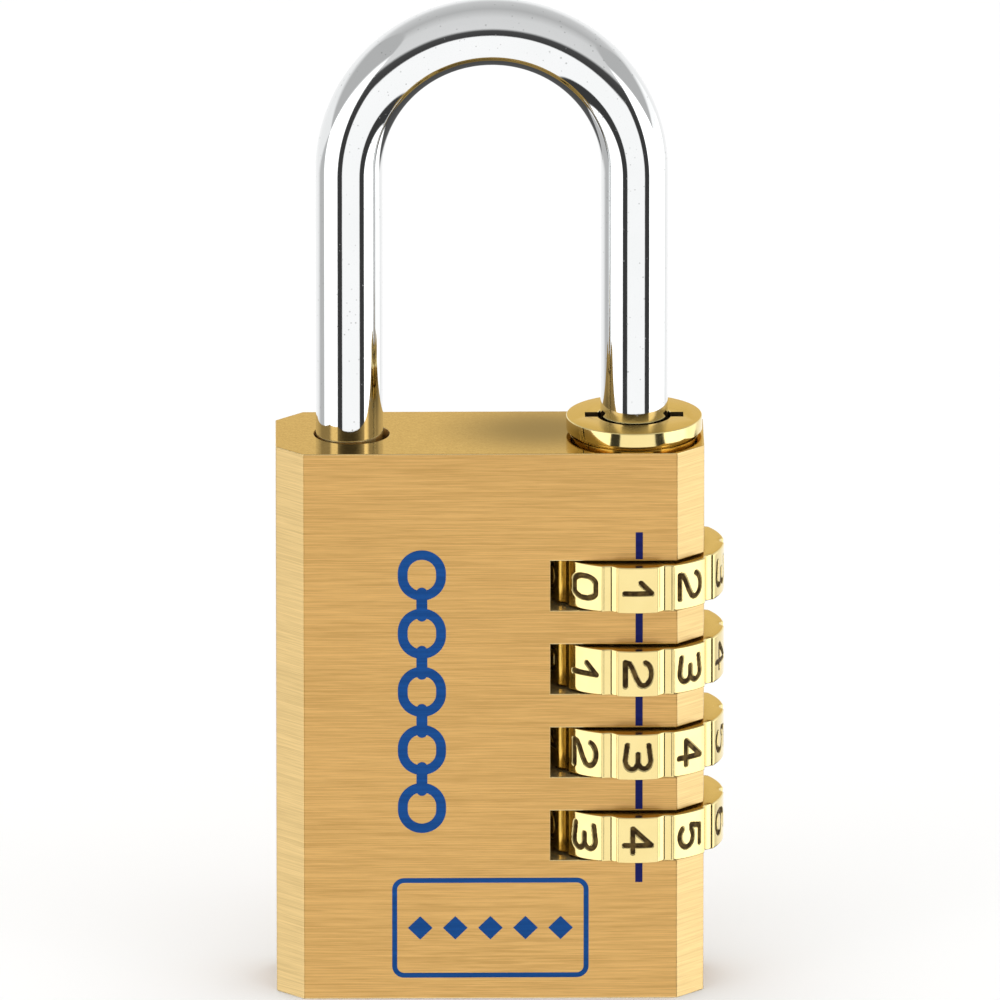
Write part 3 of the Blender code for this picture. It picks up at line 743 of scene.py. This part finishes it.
def buildWheel(size, low, high):
    # one wheel round the upright axis at the origin, figure 0 towards the front
    radius, thick = (high.x - low.x) / 2, high.z - low.z
    rise = (thick - 2 * size["edgeRound"]) / size["rimRows"]
    flat = radius - size["boreRadius"] - size["rimBand"]
    eased = [size["edgeRound"] * share for share in (0, 0.12, 0.32, 0.62)]
    levels = [-thick / 2 + step for step in eased]
    levels += [-thick / 2 + size["edgeRound"] + rise * i for i in range(size["rimRows"] + 1)]
    levels += [thick / 2 - step for step in reversed(eased)]
    rows = size["flatRows"]
    across = [size["boreRadius"] + flat * i / rows for i in range(rows + 1)]
    outline = [(reach, -thick / 2) for reach in across]
    outline += [(radius, level) for level in levels]
    outline += [(reach, thick / 2) for reach in reversed(across)]
    bm = turned(outline, 0, size["rimSteps"])
    mesh = bpy.data.meshes.new("wheelForm")
    bm.to_mesh(mesh)
    bm.free()
    points = np.zeros(len(mesh.vertices) * 3)
    mesh.vertices.foreach_get("co", points)
    points = points.reshape(-1, 3)
    reach = np.hypot(points[:, 0], points[:, 1])
    rim = reach > radius - 0.01 * mm
    angle = np.arctan2(points[rim, 1], points[rim, 0]) + math.pi / 2
    depth, stain = rimRelief(angle, points[rim, 2], radius, thick / 2, size)
    points[rim, :2] *= ((radius - depth) / radius)[:, None]
    mesh.vertices.foreach_set("co", points.ravel())
    marks = np.zeros(len(points))
    marks[rim] = stain
    mesh.attributes.new("stain", "FLOAT", "POINT").data.foreach_set("value", marks)
    rings = 0.5 + 0.5 * np.sin(reach / size["turningPitch"] * 2 * math.pi)
    mesh.attributes.new("turning", "FLOAT", "POINT").data.foreach_set("value", rings)
    return mesh


def addWheels(size):
    low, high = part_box("number_wheel_1")
    form = buildWheel(size, low, high)
    for number in range(1, 5):
        low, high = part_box(f"number_wheel_{number}")
        centre = (low + high) / 2
        bm = bmesh.new()
        bm.from_mesh(form)
        angle = math.radians(size["restTurn"]) - 2 * math.pi / size["figures"] * number
        turn = Matrix.Rotation(angle, 4, "Z")
        bmesh.ops.transform(bm, matrix=Matrix.Translation((centre.x, 0, centre.z)) @ turn,
                            verts=bm.verts)
        bm.normal_update()
        for face in bm.faces:
            skin = "turned" if abs(face.normal.z) > 0.97 else "polished"
            face.material_index = wheelSkins.index(skin)
        piece = addPiece(f"engraved_wheel_{number}", bm, wheelSkins, f"dial_{number}",
                         [f"number_wheel_{number}"], sharpAngle=50)
        print("wheel", number, "carries", len(piece.data.polygons), "faces")
    bpy.data.meshes.remove(form)


addWheels(wheel)


def layStroke(bm, start, heading, width, moves):
    # a flat band in the upright plane, from moves that are ("go", length) or
    # ("turn", radius, degrees, steps)
    position, facing = Vector((start[0], 0, start[1])), math.radians(heading)

    def sideways():
        return Vector((-math.sin(facing), 0, math.cos(facing)))

    edgeVerts = [bm.verts.new(position + sideways() * side * width / 2) for side in (-1, 1)]
    edge = bm.edges.new(edgeVerts)
    for move in moves:
        if move[0] == "go":
            grown = bmesh.ops.extrude_edge_only(bm, edges=[edge])["geom"]
            verts = [v for v in grown if isinstance(v, bmesh.types.BMVert)]
            edge = [e for e in grown if isinstance(e, bmesh.types.BMEdge)][0]
            step = Vector((math.cos(facing), 0, math.sin(facing))) * move[1]
            bmesh.ops.translate(bm, verts=verts, vec=step)
            position += step
        else:
            radius, sweep = move[1], math.radians(move[2])
            centre = position + sideways() * radius * (1 if sweep > 0 else -1)
            swept = bmesh.ops.spin(bm, geom=list(edge.verts) + [edge], cent=centre,
                                   axis=(0, -1, 0), angle=sweep, steps=move[3])
            edge = [e for e in swept["geom_last"] if isinstance(e, bmesh.types.BMEdge)][0]
            position = Matrix.Rotation(sweep, 3, (0, -1, 0)) @ (position - centre) + centre
            facing += sweep


def thicken(bm, thickness):
    # turns the flat bands into a thin layer, rooted a little inside the front face
    sunk = 0.004 * mm
    bmesh.ops.remove_doubles(bm, verts=bm.verts, dist=0.01 * mm)
    bmesh.ops.translate(bm, verts=bm.verts, vec=(0, bodyLow.y + sunk, 0))
    grown = bmesh.ops.extrude_face_region(bm, geom=list(bm.faces))["geom"]
    bmesh.ops.translate(bm, verts=[v for v in grown if isinstance(v, bmesh.types.BMVert)],
                        vec=(0, -thickness - sunk, 0))


indexMark = {"x": 13.9 * mm, "width": 0.68 * mm, "top": 45.7 * mm, "bottom": 11.4 * mm,
             "gap": 0.16 * mm, "thickness": 0.025 * mm}


def buildIndexLine(mark):
    slots = []
    for number in range(1, 5):
        low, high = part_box(f"number_wheel_{number}")
        margin = bodyCut["slotSideGap"] + mark["gap"]
        slots.append((low.z - margin, high.z + margin))
    bm = bmesh.new()
    top = mark["top"]
    for slotLow, slotHigh in slots:
        layStroke(bm, (mark["x"], slotHigh), 90, mark["width"], [("go", top - slotHigh)])
        top = slotLow
    layStroke(bm, (mark["x"], mark["bottom"]), 90, mark["width"], [("go", top - mark["bottom"])])
    thicken(bm, mark["thickness"])
    return bm


chainMark = {"x": -6.4 * mm, "bottom": 15.9 * mm, "top": 44.4 * mm, "links": 5,
             "linkWidth": 4.5 * mm, "linkShare": 0.70, "stroke": 0.92 * mm,
             "barShare": 0.40, "barWidth": 1.12, "bendSteps": 28, "thickness": 0.025 * mm}


def buildLinks(mark):
    # open links of a chain, standing one above another
    bm = bmesh.new()
    half = (mark["linkWidth"] - mark["stroke"]) / 2
    pitch = (mark["top"] - mark["bottom"]) / mark["links"]
    straight = pitch * mark["linkShare"] - 2 * half
    bend = ("turn", half, 180, mark["bendSteps"])
    for number in range(mark["links"]):
        base = mark["bottom"] + pitch * (number + (1 - mark["linkShare"]) / 2)
        layStroke(bm, (mark["x"] + half, base + half), 90, mark["stroke"],
                  [("go", straight), bend, ("go", straight), bend])
    thicken(bm, mark["thickness"])
    return bm


def buildJoiningLinks(mark):
    # the links between them, seen edge-on as bars with round ends
    bm = bmesh.new()
    pitch = (mark["top"] - mark["bottom"]) / mark["links"]
    length, radius = pitch * mark["barShare"], mark["stroke"] * mark["barWidth"] / 2
    for number in range(1, mark["links"]):
        bar = bmesh.ops.create_circle(bm, cap_ends=True, segments=32, radius=radius)["verts"]
        bmesh.ops.rotate(bm, verts=bar, matrix=Matrix.Rotation(math.pi / 2, 3, "X"))
        middle = mark["bottom"] + pitch * number
        bmesh.ops.translate(bm, verts=[v for v in bar if v.co.z > 0], vec=(0, 0, length / 2))
        bmesh.ops.translate(bm, verts=[v for v in bar if v.co.z <= 0], vec=(0, 0, -length / 2))
        bmesh.ops.translate(bm, verts=bar, vec=(mark["x"], 0, middle))
    thicken(bm, mark["thickness"] * 1.5)
    return bm


plateMark = {"centre": (0.0, 6.95 * mm), "width": 18.4 * mm, "height": 9.8 * mm,
             "corner": 0.9 * mm, "cornerSteps": 12, "stroke": 0.47 * mm, "gems": 5,
             "gemRadius": 1.15 * mm, "thickness": 0.025 * mm}


def buildPlateMark(mark):
    # a rounded border round a row of plain diamonds
    bm = bmesh.new()
    cx, cz = mark["centre"]
    halfWide, halfHigh = (mark["width"] - mark["stroke"]) / 2, (mark["height"] - mark["stroke"]) / 2
    wide, high = 2 * (halfWide - mark["corner"]), 2 * (halfHigh - mark["corner"])
    bend = ("turn", mark["corner"], 90, mark["cornerSteps"])
    layStroke(bm, (cx + halfWide, cz - high / 2), 90, mark["stroke"],
              [("go", high), bend, ("go", wide), bend] * 2)
    spacing = mark["width"] / (mark["gems"] + 0.6)
    for number in range(mark["gems"]):
        gem = bmesh.ops.create_circle(bm, cap_ends=True, segments=4, radius=mark["gemRadius"])
        middle = cx + (number - (mark["gems"] - 1) / 2) * spacing
        place = Matrix.Translation((middle, 0, cz)) @ Matrix.Rotation(math.pi / 2, 4, "X")
        bmesh.ops.transform(bm, matrix=place, verts=gem["verts"])
    thicken(bm, mark["thickness"])
    return bm


addPiece("index_line", buildIndexLine(indexMark), ["navy"], "lock_case")
addPiece("chain_print", buildLinks(chainMark), ["blue"], "lock_case")
addPiece("chain_bars_print", buildJoiningLinks(chainMark), ["blue"], "lock_case")
addPiece("border_print", buildPlateMark(plateMark), ["blue"], "lock_case")
print("front marks laid")


# the spring under the bushes, which in the lock shortens as they sink; here it is built at one
# length
returnSpring = {"wire": 0.8 * mm, "turns": 4, "stepsPerTurn": 36, "wireSides": 14,
                "stroke": 1.5 * mm}


def buildSpring(coil, low, high):
    # round wire wound about the shackle's axis, its ends cut square
    wireRadius = coil["wire"] / 2
    steps = coil["turns"] * coil["stepsPerTurn"]
    rise = (high.z - low.z - coil["wire"]) / steps
    start = Vector((high.x - wireRadius, 0, low.z + wireRadius))
    bm = bmesh.new()
    bmesh.ops.create_circle(bm, cap_ends=False, segments=coil["wireSides"], radius=wireRadius,
                            matrix=Matrix.Translation(start) @ Matrix.Rotation(math.pi / 2, 4, "X"))
    bmesh.ops.spin(bm, geom=bm.verts[:] + bm.edges[:], cent=(heelX, 0, 0), axis=(0, 0, 1),
                   dvec=(0, 0, rise), angle=2 * math.pi * coil["turns"], steps=steps)
    bmesh.ops.holes_fill(bm, edges=[e for e in bm.edges if e.is_boundary])
    return bm


springLow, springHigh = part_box("bush_return_spring")
springPiece = addPiece("wound_return_spring", buildSpring(returnSpring, springLow, springHigh),
                       ["spring"], "lock_case", ["bush_return_spring"],
                       sharpAngle=60)
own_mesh(springPiece)
print("return spring wound")


# the works carried over from the frame take their finish by the start of their name
innerFinishes = {"locking_spindle": "zinc", "thrust_washer": "zinc", "code_bush": "zinc",
                 "detent_ball": "zinc", "detent_spring": "spring"}
for nodeName, node in frame["nodes"].items():
    for start, finishName in innerFinishes.items():
        if nodeName.startswith(start):
            node.data.materials.clear()
            node.data.materials.append(finishes[finishName])
print("inner works finished")


studio = {"floorRadius": 9.0, "floorDrop": 0.02 * mm, "floorColour": (0.93, 0.93, 0.925),
          "cameraAzimuth": -0.6, "cameraElevation": 17.3, "cameraDistance": 3.0,
          "viewWidth": 93.5 * mm,
          "aim": (0.97 * mm, 0, 46.8 * mm)}


def addFloor(look):
    bm = bmesh.new()
    bmesh.ops.create_circle(bm, cap_ends=True, segments=96, radius=look["floorRadius"])
    bmesh.ops.translate(bm, verts=bm.verts, vec=(0, 0, -look["floorDrop"]))
    mesh = bpy.data.meshes.new("floor")
    bm.to_mesh(mesh)
    bm.free()
    floor = bpy.data.objects.new("floor", mesh)
    bpy.context.scene.collection.objects.link(floor)
    finish = Finish("paleFloor", look["floorColour"], 0.9, metallic=0.0, Specular_IOR_Level=0.0)
    mesh.materials.append(finish.material)
    floor.visible_glossy = False


# light tent seen by the metal: a wide bright sheet from below the lock to eye level, a dark gap
# on either side of it and over it, brighter walls at the sides and a grey roof; the lists are
# (degrees, grey level) round the X axis, 0 ahead of the lock, -90 below it and 90 overhead
tent = {"strength": 3.0, "edge": 0.012,
        "sheetLevel": 0.41, "leftWall": 0.59, "rightWall": 0.72, "gap": 0.018,
        "sheetLeft": -0.395, "sheetRight": 0.553, "wallLeft": -0.630, "wallRight": 0.757,
        "middle": [(-180, 0.36), (-156, 0.36), (-148, 0.02), (-103, 0.01), (-101, 0.0), (0, 0.0),
                   (19, 0.01), (26, 0.28), (65, 0.27), (100, 0.18), (140, 0.24), (160, 0.36),
                   (180, 0.36)],
        "sheet": [(-180, 0), (-103, 0), (-100, 1), (0, 1), (2, 0), (180, 0)],
        "leftSide": [(-180, 0.6), (-156, 0.6), (-146, 0.32), (-112, 0.32), (-100, 1), (34, 1),
                     (44, 0.3), (140, 0.3), (160, 0.6), (180, 0.6)],
        "rightSide": [(-180, 0.7), (-130, 0.7), (-100, 1), (34, 1), (44, 0.25), (140, 0.25),
                      (160, 0.6), (180, 0.6)]}


def direction(azimuth, elevation):
    a, e = math.radians(azimuth), math.radians(elevation)
    return Vector((math.sin(a) * math.cos(e), -math.cos(a) * math.cos(e), math.sin(e)))


def levels(wire, source, stops, low, high):
    # a grey level along source, from (place, level) stops between low and high
    node = wire.add("ShaderNodeMapRange", Value=source, From_Min=low, From_Max=high)
    ramp = wire.add("ShaderNodeValToRGB")
    elements = ramp.color_ramp.elements
    for stop in stops[2:]:
        elements.new(1.0)
    for element, (place, level) in zip(elements, stops):
        element.position = (place - low) / (high - low)
        element.color = (level, level, level, 1)
    wire.join(node.outputs["Result"], ramp.inputs["Fac"])
    return ramp.outputs["Color"]


def makeTent(look):
    world = bpy.data.worlds.new("lightTent")
    bpy.context.scene.world = world
    world.use_nodes = True
    tree = world.node_tree
    tree.nodes.clear()
    wire = Wiring(tree)
    coords = wire.add("ShaderNodeTexCoord")
    parts = wire.add("ShaderNodeSeparateXYZ", Vector=coords.outputs["Generated"])
    across = parts.outputs["X"]
    ahead = wire.combine("MULTIPLY", parts.outputs["Y"], -1.0)
    turn = wire.combine("ARCTAN2", parts.outputs["Z"], ahead)
    turn = wire.combine("MULTIPLY", turn, 180 / math.pi)
    edge = look["edge"]
    sheetAcross = levels(wire, across, [
        (-1, 0), (look["sheetLeft"] - edge, 0), (look["sheetLeft"] + edge, 1),
        (look["sheetRight"] - edge, 1), (look["sheetRight"] + edge, 0), (1, 0)], -1, 1)
    leftAcross = levels(wire, across, [(-1, 1), (look["wallLeft"] - edge, 1),
                                       (look["wallLeft"] + edge, 0), (1, 0)], -1, 1)
    rightAcross = levels(wire, across, [(-1, 0), (look["wallRight"] - edge, 0),
                                        (look["wallRight"] + edge, 1), (1, 1)], -1, 1)
    sheet = wire.combine("MULTIPLY", levels(wire, turn, look["sheet"], -180, 180), sheetAcross)
    sheet = wire.combine("MULTIPLY", sheet, look["sheetLevel"])
    middle = wire.combine("ADD", levels(wire, turn, look["middle"], -180, 180), sheet)
    walls = wire.combine("ADD", leftAcross, rightAcross)
    level = wire.combine("MULTIPLY", middle, wire.combine("SUBTRACT", 1.0, walls))
    for mask, side, amount in ((leftAcross, look["leftSide"], look["leftWall"]),
                               (rightAcross, look["rightSide"], look["rightWall"])):
        lit = wire.combine("MULTIPLY", levels(wire, turn, side, -180, 180), mask)
        level = wire.plus(level, lit, amount)
    level = wire.combine("ADD", level, look["gap"])
    level = wire.combine("MULTIPLY", level, look["strength"])
    room = wire.add("ShaderNodeBackground", Color=(1, 1, 1, 1), Strength=level)
    backdrop = wire.add("ShaderNodeBackground", Color=(1, 1, 1, 1))
    rays = wire.add("ShaderNodeLightPath")
    mix = wire.add("ShaderNodeMixShader", Fac=rays.outputs["Is Camera Ray"])
    wire.join(room.outputs["Background"], mix.inputs[1])
    wire.join(backdrop.outputs["Background"], mix.inputs[2])
    wire.add("ShaderNodeOutputWorld", Surface=mix.outputs["Shader"])


topLight = {"power": 14.0, "size": 1.6, "height": 1.8}


def addTopLight(look):
    # soft overhead light for the floor and the print; the metal mirrors only the tent
    lamp = bpy.data.lights.new("topLight", "AREA")
    lamp.energy = look["power"]
    lamp.size = look["size"]
    holder = bpy.data.objects.new("topLight", lamp)
    holder.location = (0, 0, look["height"])
    holder.visible_glossy = False
    holder.visible_camera = False
    bpy.context.scene.collection.objects.link(holder)


def addCamera(look):
    camera = bpy.data.cameras.new("camera")
    camera.sensor_width = 36
    camera.lens = camera.sensor_width * look["cameraDistance"] / look["viewWidth"]
    camera.clip_end = 50
    holder = bpy.data.objects.new("camera", camera)
    aim = Vector(look["aim"])
    away = direction(look["cameraAzimuth"], look["cameraElevation"]) * look["cameraDistance"]
    turn = (-away).to_track_quat("-Z", "Y").to_matrix().to_4x4()
    holder.matrix_world = Matrix.Translation(aim + away) @ turn
    bpy.context.scene.collection.objects.link(holder)
    bpy.context.scene.camera = holder


addFloor(studio)
makeTent(tent)
addTopLight(topLight)
addCamera(studio)
bpy.context.scene.view_settings.view_transform = "Standard"
print("studio ready")
